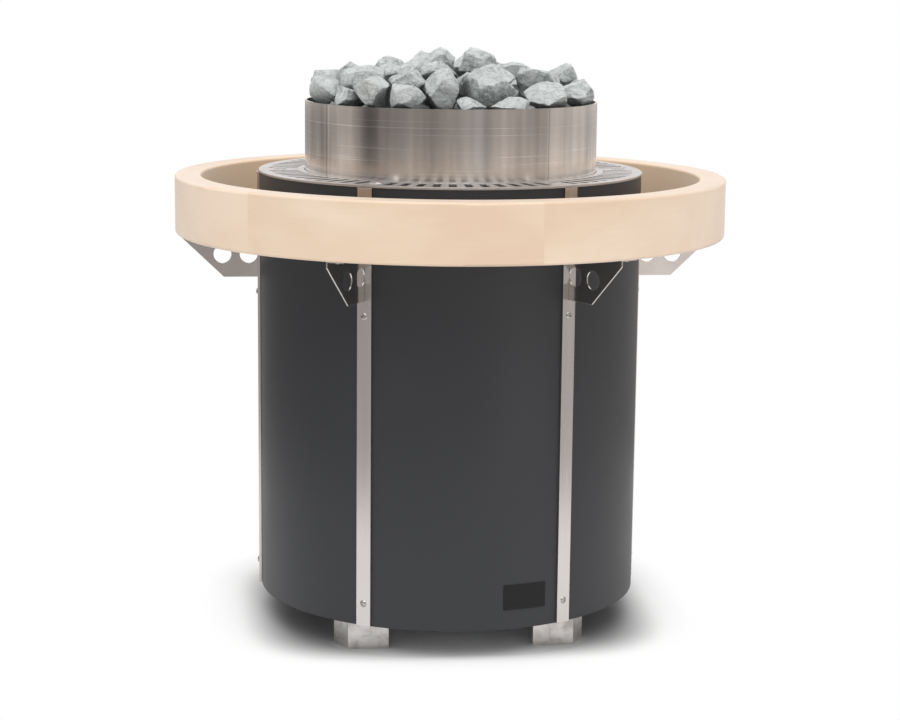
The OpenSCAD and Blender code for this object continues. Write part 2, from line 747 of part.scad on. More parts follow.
// Stones: each is the hull of points that stay on its own side of the planes
// to its neighbours, of the drum's wall and of the grate, so that two stones
// touch at points and never overlap
function ring_places(z, r, n, seed) = let (w = rands(-1, 1, 3 * n, seed))
    [for (i = [0 : n - 1]) let (a = 360 * (i + 0.31 * seed) / n, q = r + w[3 * i] * jitter_share * drum_in)
        [q * cos(a + w[3 * i + 1] * 3), q * sin(a + w[3 * i + 1] * 3),
            z + w[3 * i + 2] * jitter_share * drum_in]];

lower_places = [for (l = [0 : len(layer_shares) - 1], k = [0 : len(layer_shares[l][1]) - 1])
    each ring_places(grate_z + grate_t + layer_shares[l][0] * stone_depth,
        layer_shares[l][1][k] * drum_in, layer_shares[l][2][k], 7 * l + k + 1)];
upper_places = [for (s = upper_shares)
    [s[0] * drum_in, s[1] * drum_in, rim_z + s[2] * stone_d]];
// Every stone as its place and its width and height in mean stone sizes
stones = concat([for (p = lower_places) [p, 1, 1]],
    [for (i = [0 : len(upper_places) - 1]) [upper_places[i], upper_shares[i][3], upper_shares[i][4]]]);

function flat_len(p) = norm([p[0], p[1]]);
function dir(az, el) = [cos(el) * cos(az), cos(el) * sin(az), sin(el)];

// Way along direction d from p until the drum's inner wall
function wall_reach(p, d) = let (r = drum_in - hem_t - stone_gap, a = d[0] * d[0] + d[1] * d[1],
    b = p[0] * d[0] + p[1] * d[1], c = p[0] * p[0] + p[1] * p[1] - r * r)
    a < 0.001 ? 2 * drum_r : (-b + sqrt(b * b - a * c)) / a;
// Way along direction d from p until the grate
function grate_reach(p, d) = d[2] > -0.001 ? 2 * drum_r : (p[2] - grate_z - grate_t - stone_gap) / -d[2];
// Way along direction d from p until a plane to one of the stones near it; the
// plane splits the distance between two stones by their widths
function near_reach(p, w, d, near) = min([for (q = near) let (v = q[0] - p, m = norm(v), c = d * v / m)
    c < 0.001 ? 2 * drum_r : (m - stone_gap) * w / (w + q[1]) / c]);
function reach(p, w, d, near) = min(wall_reach(p, d), grate_reach(p, d), near_reach(p, w, d, near));

function touches(p, q, near) = let (mid = (p + q) / 2, half = norm(q - p) / 2)
    len([for (k = near) if (k[0] != q && norm(k[0] - mid) < half) 1]) == 0;

function stone_points(i) = let (
    p = stones[i][0], width = stones[i][1], height = stones[i][2],
    near = [for (q = stones) if (q[0] != p && norm(q[0] - p) < 2.4 * stone_d) q],
    w = rands(0, 1, 3 * facet_points, i + 1),
    contacts = [for (q = near) let (m = norm(q[0] - p), d = (q[0] - p) / m)
        if (m < contact_share * stone_d && touches(p, q[0], near))
            p + d * min((m - stone_gap) * width / (width + q[1]), wall_reach(p, d), grate_reach(p, d))],
    wall_dir = [p[0], p[1], 0] / max(flat_len(p), 1),
    sides = [for (d = [wall_dir, [0, 0, -1]]) let (r = reach(p, width, d, near))
        if (r < 0.8 * width * stone_d) p + d * r],
    shape = [for (k = [0 : facet_points - 1]) let (
        el = asin(2 * (k + 0.5) / facet_points - 1), az = 137.5 * k + 360 * w[0] + 50 * w[3 * k + 1],
        d = dir(az, el), stretch = norm([d[0] / width, d[1] / width, d[2] / height]),
        size = stone_d * (facet_share[0] + w[3 * k + 2] * (facet_share[1] - facet_share[0])) / stretch)
        p + d * min(size, reach(p, width, d, near))])
    concat(contacts, sides, shape);

module stone(i) {
    points = stone_points(i);
    hull() polyhedron(points = points, faces = [[for (k = [0 : len(points) - 1]) k]]);
}

module lower_stones() { color("#8f948f") for (i = [0 : len(lower_places) - 1]) stone(i); }
module upper_stones() {
    color("#b3b8b2") for (i = [len(lower_places) : len(stones) - 1]) stone(i);
}

base_plate();
leg(-1, -1);  // leg_front_left
leg(1, -1);  // leg_front_right
leg(-1, 1);  // leg_rear_left
leg(1, 1);  // leg_rear_right
panel(0);  // panel_front
panel(1);  // panel_front_right
panel(2);  // panel_rear_right
panel(3);  // panel_rear
panel(4);  // panel_rear_left
panel(5);  // panel_front_left
upright(0);  // upright_front_right
upright(1);  // upright_right
upright(2);  // upright_rear_right
upright(3);  // upright_rear_left
upright(4);  // upright_left
upright(5);  // upright_front_left
strip(0);  // strip_front_right
strip(1);  // strip_right
strip(2);  // strip_rear_right
strip(3);  // strip_rear_left
strip(4);  // strip_left
strip(5);  // strip_front_left
bracket(0);  // bracket_front_right
bracket(1);  // bracket_right
bracket(2);  // bracket_rear_right
bracket(3);  // bracket_rear_left
bracket(4);  // bracket_left
bracket(5);  // bracket_front_left
rail_segment(0);  // rail_segment_1
rail_segment(1);  // rail_segment_2
rail_segment(2);  // rail_segment_3
rail_segment(3);  // rail_segment_4
rail_segment(4);  // rail_segment_5
rail_segment(5);  // rail_segment_6
top_plate();
plate_screws();
stone_drum();
stone_grate();
heat_shield();
element_carrier();
heating_element(0);  // heating_element_1
heating_element(1);  // heating_element_2
heating_element(2);  // heating_element_3
heating_element(3);  // heating_element_4
heating_element(4);  // heating_element_5
heating_element(5);  // heating_element_6
terminal_insulators();
internal_leads();
terminal_box();
terminal_box_lid();
terminal_block();
cable_gland();
badge_plate();
lower_stones();
upper_stones();
strip_screws();
leg_bolts();
bracket_fasteners();
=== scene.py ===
import json
import math

import bpy
import numpy as np
from mathutils import Matrix

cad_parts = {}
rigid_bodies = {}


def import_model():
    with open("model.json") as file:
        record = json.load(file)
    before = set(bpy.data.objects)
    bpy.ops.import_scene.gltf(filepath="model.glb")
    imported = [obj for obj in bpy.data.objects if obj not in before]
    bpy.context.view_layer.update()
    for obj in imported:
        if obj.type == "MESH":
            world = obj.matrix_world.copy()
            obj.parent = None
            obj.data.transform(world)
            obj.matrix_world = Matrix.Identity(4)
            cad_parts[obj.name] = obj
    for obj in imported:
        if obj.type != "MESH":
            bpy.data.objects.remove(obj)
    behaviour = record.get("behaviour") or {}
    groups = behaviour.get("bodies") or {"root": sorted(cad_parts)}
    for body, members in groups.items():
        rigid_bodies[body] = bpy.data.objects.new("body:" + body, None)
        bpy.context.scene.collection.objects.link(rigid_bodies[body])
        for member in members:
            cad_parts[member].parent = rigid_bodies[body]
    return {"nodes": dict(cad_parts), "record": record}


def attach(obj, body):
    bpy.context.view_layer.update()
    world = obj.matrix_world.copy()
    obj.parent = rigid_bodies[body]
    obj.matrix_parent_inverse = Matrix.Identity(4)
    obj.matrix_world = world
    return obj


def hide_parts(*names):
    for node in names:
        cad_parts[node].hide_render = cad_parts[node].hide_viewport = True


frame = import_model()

for leftover in [o for o in bpy.data.objects if o.type in {"LIGHT", "CAMERA"} or o.name == "Cube"]:
    bpy.data.objects.remove(leftover)
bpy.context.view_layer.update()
scene = bpy.context.scene
print("heater frame loaded:", len(frame["nodes"]), "pieces")

# lengths in metres, angles in degrees; azimuth 0 is the heater's front (-Y), and it grows towards +X
photoCamera = {"distance": 3.4252, "height": 1.0213, "azimuth": -5.8, "pitchDown": 10.22, "turnRight": 0.04,
               "roll": 0.58, "lens": 86.84, "sensorWidth": 36.0, "clip": (0.05, 300.0)}


def placeCamera(spec):
    # stands at a distance from the heater's axis, looks at the axis, then pitches down and rolls
    camera = bpy.data.objects.new("photoCamera", bpy.data.cameras.new("photoCamera"))
    scene.collection.objects.link(camera)
    azimuth = math.radians(spec["azimuth"])
    spot = Matrix.Translation((spec["distance"] * math.sin(azimuth),
                               -spec["distance"] * math.cos(azimuth), spec["height"]))
    heading = Matrix.Rotation(azimuth - math.radians(spec["turnRight"]), 4, "Z")
    pitch = Matrix.Rotation(math.radians(90 - spec["pitchDown"]), 4, "X")
    camera.matrix_world = spot @ heading @ pitch @ Matrix.Rotation(math.radians(spec["roll"]), 4, "Z")
    camera.data.lens = spec["lens"]
    camera.data.sensor_width = spec["sensorWidth"]
    camera.data.clip_start, camera.data.clip_end = spec["clip"]
    scene.camera = camera


placeCamera(photoCamera)
print("camera placed")


# shader node helpers
def addNode(tree, kind, settings=None, **sockets):
    # one shader node; another node's output is linked, a plain value is typed in; in0, in1 go by number
    made = tree.nodes.new("ShaderNode" + kind)
    for name, value in (settings or {}).items():
        setattr(made, name, value)
    for name, value in sockets.items():
        byNumber = name[:2] == "in" and name[2:].isdigit()
        socket = made.inputs[int(name[2:]) if byNumber else name.replace("_", " ")]
        if isinstance(value, bpy.types.NodeSocket):
            tree.links.new(value, socket)
        else:
            socket.default_value = value
    return made


def calc(tree, operation, first, second=0.0, third=0.0, clamp=False):
    settings = {"operation": operation, "use_clamp": clamp}
    return addNode(tree, "Math", settings, in0=first, in1=second, in2=third).outputs[0]


def times(tree, first, second):
    return calc(tree, "MULTIPLY", first, second)


def scaled(tree, vector, scale):
    return addNode(tree, "VectorMath", {"operation": "SCALE"}, in0=vector, Scale=scale).outputs[0]


def gray(level):
    return (level, level, level)


def mixColors(tree, share, first, second, blend="MIX"):
    # first where share is 0, second where it is 1; a plain colour is (red, green, blue)
    first, second = (value if isinstance(value, bpy.types.NodeSocket) else (*value, 1.0)
                     for value in (first, second))
    settings = {"data_type": "RGBA", "blend_type": blend}
    return addNode(tree, "Mix", settings, in0=share, in6=first, in7=second).outputs[2]


def spread(tree, value, low, high, newLow=0.0, newHigh=1.0, smooth=False):
    # carries value from one range to another and holds it at the ends
    settings = {"interpolation_type": "SMOOTHSTEP" if smooth else "LINEAR"}
    return addNode(tree, "MapRange", settings, in0=value, in1=low, in2=high, in3=newLow, in4=newHigh).outputs[0]


noiseSpan = (0.3, 0.7)  # nearly all values of a noise lie between these


def varied(tree, value, low, high):
    # carries a noise's usual range to low and high
    return spread(tree, value, *noiseSpan, low, high)


def noise(tree, vector, scale=1.0, detail=2.0, roughness=0.5, distortion=0.0):
    return addNode(tree, "TexNoise", None, Vector=vector, Scale=scale, Detail=detail, Roughness=roughness,
                   Distortion=distortion).outputs["Fac"]


def stretch(tree, vector, scale, turn=(0.0, 0.0, 0.0)):
    return addNode(tree, "Mapping", None, Vector=vector, Scale=scale, Rotation=turn).outputs[0]


def splitVector(tree, vector):
    return addNode(tree, "SeparateXYZ", None, in0=vector).outputs


def startGroup(name, inputs, outputs):
    # an empty node group with named sockets: inputs as (name, kind, value), outputs as (name, kind)
    group = bpy.data.node_groups.new(name, "ShaderNodeTree")
    for label, kind, value in inputs:
        socket = group.interface.new_socket(name=label, in_out="INPUT", socket_type="NodeSocket" + kind)
        if value is not None:
            socket.default_value = value
    for label, kind in outputs:
        group.interface.new_socket(name=label, in_out="OUTPUT", socket_type="NodeSocket" + kind)
    return group, group.nodes.new("NodeGroupInput").outputs, group.nodes.new("NodeGroupOutput").inputs


def closeGroup(group, out, **sockets):
    for label, socket in sockets.items():
        group.links.new(socket, out[label])
    return group


def useGroup(tree, group, **sockets):
    return addNode(tree, "Group", {"node_tree": group}, **sockets).outputs


# shared surface effects, one node group each
def makeRoundCoordinates():
    # unrolls the heater: Turn is the angle from the start azimuth, Radius the distance from the axis,
    # and Unrolled is (turn times mean radius, height, radius)
    group, given, out = startGroup(
        "roundCoordinates", [("Vector", "Vector", None), ("Start", "Float", 0.0), ("Mean Radius", "Float", 0.3)],
        [("Turn", "Float"), ("Radius", "Float"), ("Unrolled", "Vector")])
    parts = splitVector(group, given["Vector"])
    azimuth = calc(group, "ARCTAN2", parts["X"], times(group, parts["Y"], -1.0))
    turn = calc(group, "WRAP", calc(group, "SUBTRACT", azimuth, given["Start"]), math.tau, 0.0)
    squares = [times(group, parts[axis], parts[axis]) for axis in "XY"]
    radius = calc(group, "SQRT", calc(group, "ADD", *squares))
    flat = addNode(group, "CombineXYZ", None, X=times(group, turn, given["Mean Radius"]), Y=parts["Z"], Z=radius)
    return closeGroup(group, out, Turn=turn, Radius=radius, Unrolled=flat.outputs[0])


brushing = {"fineDetail": 3.0, "fineRough": 0.65, "fineShare": 0.45, "wideDetail": 3.0, "wideRough": 0.6,
            "wideShare": 0.55}


def makeBrushedGrain(spec):
    # fine scratches and broader bands, in a vector that the material has stretched along the brushing
    group, given, out = startGroup("brushedGrain", [("Vector", "Vector", None), ("Bands", "Float", 0.12)],
                                   [("Tone", "Float"), ("Height", "Float")])
    fine = noise(group, given["Vector"], 1.0, spec["fineDetail"], spec["fineRough"])
    wide = noise(group, scaled(group, given["Vector"], given["Bands"]), 1.0, spec["wideDetail"],
                 spec["wideRough"])
    tone = calc(group, "ADD", times(group, fine, spec["fineShare"]), times(group, wide, spec["wideShare"]))
    return closeGroup(group, out, Tone=tone, Height=fine)


def makeEdgeWear():
    # where the rounded normal leaves the real one there is an edge: its mask, and the rounded normal
    group, given, out = startGroup("edgeWear", [("Radius", "Float", 0.0008), ("Reach", "Float", 0.12)],
                                   [("Mask", "Float"), ("Normal", "Vector")])
    rounded = addNode(group, "Bevel", {"samples": 4}, Radius=given["Radius"]).outputs[0]
    flat = addNode(group, "NewGeometry").outputs["Normal"]
    along = addNode(group, "VectorMath", {"operation": "DOT_PRODUCT"}, in0=rounded, in1=flat).outputs["Value"]
    mask = spread(group, calc(group, "SUBTRACT", 1.0, along), 0.0, given["Reach"])
    return closeGroup(group, out, Mask=mask, Normal=rounded)


wood = {"boardShift": (7.3, 0.41, 0.77), "fibres": (14.0, 620.0, 620.0), "fibreShare": 0.14,
        "figure": (5.0, 9.0, 9.0), "figureShare": 0.86, "bend": (1.9, 4.5, 4.5), "bendDepth": 9.0,
        "ringsPerMetre": 42.0, "lineWidth": 0.16}


def makeWoodGrain(spec):
    # fibres, growth lines and soft figure of a light wood; the vector runs (along, up, through) the board,
    # and each seed is a board of its own
    group, given, out = startGroup("woodGrain", [("Vector", "Vector", None), ("Seed", "Float", 0.0)],
                                   [("Tone", "Float"), ("Line", "Float"), ("Height", "Float")])
    shift = scaled(group, spec["boardShift"], given["Seed"])
    board = addNode(group, "VectorMath", {"operation": "ADD"}, in0=given["Vector"], in1=shift).outputs[0]
    fibre = noise(group, stretch(group, board, spec["fibres"]), detail=3.0, roughness=0.6)
    figure = noise(group, stretch(group, board, spec["figure"]), detail=3.0, roughness=0.55, distortion=0.6)
    bent = noise(group, stretch(group, board, spec["bend"]), detail=1.5, roughness=0.4)
    rings = calc(group, "ADD", times(group, splitVector(group, board)["Y"], spec["ringsPerMetre"]),
                 times(group, bent, spec["bendDepth"]))
    line = spread(group, calc(group, "PINGPONG", rings, 1.0), 0.0, spec["lineWidth"], 1.0, 0.0, True)
    tone = calc(group, "ADD", times(group, fibre, spec["fibreShare"]), times(group, figure, spec["figureShare"]))
    return closeGroup(group, out, Tone=tone, Line=line, Height=fibre)


rockMakeup = {"layers": (70.0, 70.0, 420.0), "layerTilt": (0.5, 0.3, 0.0), "patches": 34.0, "specks": 190.0,
              "chips": 110.0, "crackBend": 60.0, "crackBendDepth": 0.02, "cracks": 52.0, "crackWidth": 0.05,
              "grit": 150.0, "gritHeight": 1.1, "chipHeight": 0.45, "crackDepth": 0.30, "layerHeight": 0.55}


def makeRockGrain(spec):
    # patches, specks, tilted layers and cracks of broken rock; height is grit, chips and layers, less cracks
    group, given, out = startGroup("rockGrain", [("Vector", "Vector", None)],
                                   [("Patch", "Float"), ("Speck", "Float"), ("Crack", "Float"),
                                    ("Layer", "Float"), ("Height", "Float")])
    place = given["Vector"]
    layer = noise(group, stretch(group, place, spec["layers"], spec["layerTilt"]), detail=5.0, roughness=0.75,
                  distortion=0.8)
    patch = noise(group, place, spec["patches"], 6.0, 0.68, 1.0)
    speck = noise(group, place, spec["specks"], 6.0, 0.85, 0.8)
    chips = addNode(group, "TexVoronoi", {"feature": "F1"}, Vector=place, Scale=spec["chips"],
                    Randomness=1.0).outputs["Distance"]
    bend = addNode(group, "TexNoise", None, Vector=place, Scale=spec["crackBend"], Detail=4.0).outputs["Color"]
    bent = addNode(group, "VectorMath", {"operation": "ADD"}, in0=place,
                   in1=scaled(group, bend, spec["crackBendDepth"])).outputs[0]
    crack = addNode(group, "TexVoronoi", {"feature": "DISTANCE_TO_EDGE"}, Vector=bent, Scale=spec["cracks"],
                    Randomness=1.0).outputs["Distance"]
    height = calc(group, "ADD", times(group, noise(group, place, spec["grit"], 8.0, 0.85), spec["gritHeight"]),
                  times(group, chips, spec["chipHeight"]))
    height = calc(group, "SUBTRACT", height,
                  spread(group, crack, spec["crackWidth"], 0.0, 0.0, spec["crackDepth"]))
    height = calc(group, "ADD", height, times(group, layer, spec["layerHeight"]))
    return closeGroup(group, out, Patch=patch, Speck=speck, Crack=crack, Layer=layer, Height=height)


def makeCoatPeel():
    # the small dimples of a baked powder coat, and faint clouds in it
    group, given, out = startGroup("coatPeel", [("Vector", "Vector", None), ("Size", "Float", 900.0)],
                                   [("Height", "Float"), ("Cloud", "Float")])
    return closeGroup(group, out, Height=noise(group, given["Vector"], given["Size"], 2.0, 0.55),
                      Cloud=noise(group, given["Vector"], 6.0, 3.0, 0.5))


roundCoordinates = makeRoundCoordinates()
brushedGrain = makeBrushedGrain(brushing)
edgeWear = makeEdgeWear()
woodGrain = makeWoodGrain(wood)
rockGrain = makeRockGrain(rockMakeup)
coatPeel = makeCoatPeel()
print("surface effects ready")


def startMaterial(name, **shaderValues):
    # a material with its Principled shader; returns the tree, the shader and the object coordinates
    material = bpy.data.materials.new(name)
    material.use_nodes = True
    tree = material.node_tree
    shader = tree.nodes["Principled BSDF"]
    for label, value in shaderValues.items():
        shader.inputs[label.replace("_", " ")].default_value = value
    return material, tree, shader, addNode(tree, "TexCoord").outputs["Object"]


def feed(tree, shader, **sockets):
    for label, socket in sockets.items():
        tree.links.new(socket, shader.inputs[label.replace("_", " ")])


def bump(tree, height, strength, distance, normal=None):
    made = addNode(tree, "Bump", None, Strength=strength, Distance=distance, Height=height)
    if normal is not None:
        tree.links.new(normal, made.inputs["Normal"])
    return made.outputs[0]


jacketLook = {"color": (0.0235, 0.0250, 0.0288), "cloudColor": (0.0278, 0.0292, 0.0335),
              "roughness": (0.41, 0.48), "ior": 1.5, "peelSize": 950.0, "peelStrength": 0.5,
              "peelDepth": 0.00004, "edge": 0.0009, "edgeReach": 0.25, "edgeShare": 0.5,
              "edgeColor": (0.08, 0.08, 0.08)}
badgeLook = {"color": (0.007, 0.007, 0.007), "cloudColor": (0.007, 0.007, 0.007), "roughness": (0.34, 0.43),
             "ior": 1.36, "peelSize": 1500.0, "peelStrength": 0.4, "peelDepth": 0.00003, "edge": 0.0006,
             "edgeReach": 0.3, "edgeShare": 0.6, "edgeColor": (0.09, 0.09, 0.09)}


def makeCoating(name, spec):
    # baked coat on sheet: fine dimples, faint clouds, and edges worn paler
    material, tree, shader, place = startMaterial(name, IOR=spec["ior"])
    peel = useGroup(tree, coatPeel, Vector=place, Size=spec["peelSize"])
    wear = useGroup(tree, edgeWear, Radius=spec["edge"], Reach=spec["edgeReach"])
    color = mixColors(tree, peel["Cloud"], spec["color"], spec["cloudColor"])
    color = mixColors(tree, times(tree, wear["Mask"], spec["edgeShare"]), color, spec["edgeColor"])
    feed(tree, shader, Base_Color=color, Roughness=varied(tree, peel["Cloud"], *spec["roughness"]),
         Normal=bump(tree, peel["Height"], spec["peelStrength"], spec["peelDepth"], wear["Normal"]))
    return material


# grain is how far the mapping squeezes the pattern on each axis, so it is longest where the number is small
stripSteelLook = {"grain": (900.0, 900.0, 9.0), "bands": 0.10, "dark": (0.62, 0.58, 0.565),
                  "light": (0.77, 0.73, 0.715), "roughness": (0.16, 0.26), "edge": 0.0007,
                  "edgeColor": (0.88, 0.87, 0.86), "cloudSize": 9.0, "stain": 0.25,
                  "stainColor": (0.62, 0.58, 0.56), "smear": 0.05, "scratch": 0.25}
bracketSteelLook = {"grain": (14.0, 14.0, 1100.0), "bands": 0.2, "dark": (0.62, 0.58, 0.55),
                    "light": (0.72, 0.69, 0.66), "roughness": (0.09, 0.15), "edge": 0.0008,
                    "edgeColor": (0.95, 0.94, 0.92), "cloudSize": 22.0, "stain": 0.3,
                    "stainColor": (0.58, 0.53, 0.50), "smear": 0.08, "scratch": 0.12}
plateSteelLook = {"grain": (10.0, 700.0, 700.0), "bands": 0.15, "dark": (0.56, 0.545, 0.54),
                  "light": (0.74, 0.72, 0.715), "roughness": (0.24, 0.36), "edge": 0.0007,
                  "edgeColor": (0.80, 0.79, 0.78), "cloudSize": 12.0, "stain": 0.35,
                  "stainColor": (0.52, 0.50, 0.48), "smear": 0.10, "scratch": 0.3}
legSteelLook = {"grain": (26.0, 26.0, 520.0), "bands": 0.22, "dark": (0.64, 0.615, 0.595),
                "light": (0.93, 0.905, 0.885), "roughness": (0.22, 0.40), "edge": 0.0009,
                "edgeColor": (0.86, 0.85, 0.84), "cloudSize": 42.0, "stain": 0.80,
                "stainColor": (0.46, 0.42, 0.40), "smear": 0.16, "scratch": 0.7}
grateSteelLook = {"grain": (8.0, 500.0, 500.0), "bands": 0.2, "dark": (0.20, 0.18, 0.17),
                  "light": (0.34, 0.32, 0.30), "roughness": (0.35, 0.5), "edge": 0.0008,
                  "edgeColor": (0.45, 0.43, 0.41), "cloudSize": 14.0, "stain": 0.6,
                  "stainColor": (0.22, 0.17, 0.14), "smear": 0.12, "scratch": 0.4}
zincLook = {"grain": (60.0, 60.0, 60.0), "bands": 0.5, "dark": (0.42, 0.43, 0.44),
            "light": (0.58, 0.59, 0.60), "roughness": (0.38, 0.52), "edge": 0.0008,
            "edgeColor": (0.66, 0.67, 0.68), "cloudSize": 18.0, "stain": 0.3,
            "stainColor": (0.45, 0.45, 0.45), "smear": 0.10, "scratch": 0.3}
fastenerLook = {"grain": (300.0, 300.0, 300.0), "bands": 0.3, "dark": (0.44, 0.43, 0.42),
                "light": (0.60, 0.59, 0.58), "roughness": (0.18, 0.28), "edge": 0.0004,
                "edgeColor": (0.85, 0.85, 0.84), "cloudSize": 90.0, "stain": 0.3,
                "stainColor": (0.45, 0.43, 0.41), "smear": 0.08, "scratch": 0.2}
sheetSteel = {"edgeReach": 0.2, "edgeShare": 0.6, "stainSpan": (0.35, 0.7), "smearSpan": (0.3, 0.75),
              "scratchDepth": 0.00002}  # the same on all of them


def makeBrushedSteel(name, spec, common=sheetSteel):
    # sheet brushed in one direction: the mapping stretches the grain along it; clouds stain and dull it
    material, tree, shader, place = startMaterial(name, Metallic=1.0)
    grain = useGroup(tree, brushedGrain, Vector=stretch(tree, place, spec["grain"]), Bands=spec["bands"])
    wear = useGroup(tree, edgeWear, Radius=spec["edge"], Reach=common["edgeReach"])
    cloud = noise(tree, place, spec["cloudSize"], 4.0, 0.6, 0.4)
    stain = spread(tree, cloud, *common["stainSpan"], 0.0, spec["stain"], True)
    color = mixColors(tree, grain["Tone"], spec["dark"], spec["light"])
    color = mixColors(tree, stain, color, spec["stainColor"])
    color = mixColors(tree, times(tree, wear["Mask"], common["edgeShare"]), color, spec["edgeColor"])
    rough = calc(tree, "ADD", varied(tree, grain["Tone"], *spec["roughness"]),
                 spread(tree, cloud, *common["smearSpan"], 0.0, spec["smear"]), clamp=True)
    feed(tree, shader, Base_Color=color, Roughness=rough,
         Normal=bump(tree, grain["Height"], spec["scratch"], common["scratchDepth"], wear["Normal"]))
    return material


# marks are (azimuth, half width in radians); the patterns run (round the drum, up, through)
drumLook = {"dark": (0.46, 0.415, 0.38), "light": (0.70, 0.65, 0.605), "cool": (0.58, 0.575, 0.575),
            "coolShare": 0.55, "grainLevel": 0.34, "grainShare": 0.22, "scratchLevel": 0.86, "scratchShare": 0.5,
            "roughness": (0.13, 0.27), "roughSpan": (0.5, 1.1), "streakRough": 0.6,
            "seam": (-61.0, 0.012), "fold": (34.0, 0.007), "seamHighlight": (-59.5, 0.016), "foldShare": 0.8,
            "beadColor": (0.20, 0.18, 0.165), "beadShare": 0.6, "highlightColor": (0.90, 0.86, 0.83),
            "highlightShare": 0.5, "meanRadius": 0.229, "footReflectionHeights": (0.795, 0.72), "footReflectionGain": 1.4,
            "grain": (5.0, 1300.0, 40.0), "bands": 0.12, "streaks": (17.0, 0.9, 1.0), "streakSpan": (0.38, 0.60),
            "tints": (9.0, 1.2, 1.0), "tintSpan": (0.45, 0.62), "scratches": (3.0, 520.0, 1.0),
            "scratchSpan": (0.66, 0.74), "waves": (16.0, 1.5, 1.0), "waveDepth": 0.0007, "beadDepth": 0.0003,
            "grainHeight": 0.12}


def makeDrumSteel(spec):
    # rolled sheet: brushing round the drum, soft upright streaks, a welded seam with a painted highlight beside
    # it and a fold line; a painted reflection makes the lower part lighter
    material, tree, shader, place = startMaterial("drumSteel", Metallic=1.0, Anisotropic=0.7,
                                                  Anisotropic_Rotation=0.25)
    ring = useGroup(tree, roundCoordinates, Vector=place, Start=math.pi, Mean_Radius=spec["meanRadius"])
    unrolled = ring["Unrolled"]
    grain = useGroup(tree, brushedGrain, Vector=stretch(tree, unrolled, spec["grain"]), Bands=spec["bands"])
    streak = noise(tree, stretch(tree, unrolled, spec["streaks"]), detail=4.0, roughness=0.55)
    tint = noise(tree, stretch(tree, unrolled, spec["tints"]))
    scratch = spread(tree, noise(tree, stretch(tree, unrolled, spec["scratches"]), detail=1.0),
                     *spec["scratchSpan"])
    color = mixColors(tree, spread(tree, streak, *spec["streakSpan"]), spec["dark"], spec["light"])
    color = mixColors(tree, spread(tree, tint, *spec["tintSpan"], 0.0, spec["coolShare"], True), color,
                      spec["cool"])
    color = mixColors(tree, varied(tree, grain["Tone"], 0.0, spec["grainShare"]), color,
                      gray(spec["grainLevel"]))
    color = mixColors(tree, times(tree, scratch, spec["scratchShare"]), color, gray(spec["scratchLevel"]))
    height = splitVector(tree, place)["Z"]
    # painted reflection: the colour grows lighter towards the drum's foot, for the plate and rail that it
    # mirrors
    color = scaled(tree, color, spread(tree, height, *spec["footReflectionHeights"], 1.0, spec["footReflectionGain"], True))
    marks = []
    for azimuth, width in (spec["seam"], spec["fold"], spec["seamHighlight"]):
        turn = (math.radians(azimuth) - math.pi) % math.tau
        away = calc(tree, "ABSOLUTE", calc(tree, "SUBTRACT", ring["Turn"], turn))
        marks.append(spread(tree, away, 0.0, width, 1.0, 0.0, True))
    bead = calc(tree, "MAXIMUM", marks[0], times(tree, marks[1], spec["foldShare"]))
    color = mixColors(tree, times(tree, bead, spec["beadShare"]), color, spec["beadColor"])
    # a painted highlight along the welded seam
    color = mixColors(tree, times(tree, marks[2], spec["highlightShare"]), color, spec["highlightColor"])
    rough = spread(tree, calc(tree, "ADD", grain["Tone"], times(tree, streak, spec["streakRough"])),
                   *spec["roughSpan"], *spec["roughness"])
    lift = calc(tree, "SUBTRACT", times(tree, grain["Height"], spec["grainHeight"]), bead)
    wave = noise(tree, stretch(tree, unrolled, spec["waves"]), detail=1.0, roughness=0.4)
    normal = bump(tree, wave, 0.5, spec["waveDepth"], bump(tree, lift, 0.5, spec["beadDepth"]))
    feed(tree, shader, Base_Color=color, Roughness=rough, Normal=normal)
    return material


railLook = {"pale": (0.83, 0.655, 0.50), "warm": (0.765, 0.57, 0.41), "toneSpan": (0.38, 0.62),
            "inner": (0.97, 0.70, 0.455), "innerShare": 0.7, "innerRadius": (0.398, 0.394),
            "line": (0.68, 0.49, 0.35), "lineShare": 0.05, "glue": (0.70, 0.52, 0.38), "glueShare": 0.45,
            "glueWidth": (0.0004, 0.0011), "glueDepth": 0.7, "roughness": (0.41, 0.53), "grainDepth": 0.00012,
            "boards": 6, "firstJoint": 12.0, "boardTone": 0.12, "meanRadius": 0.41}


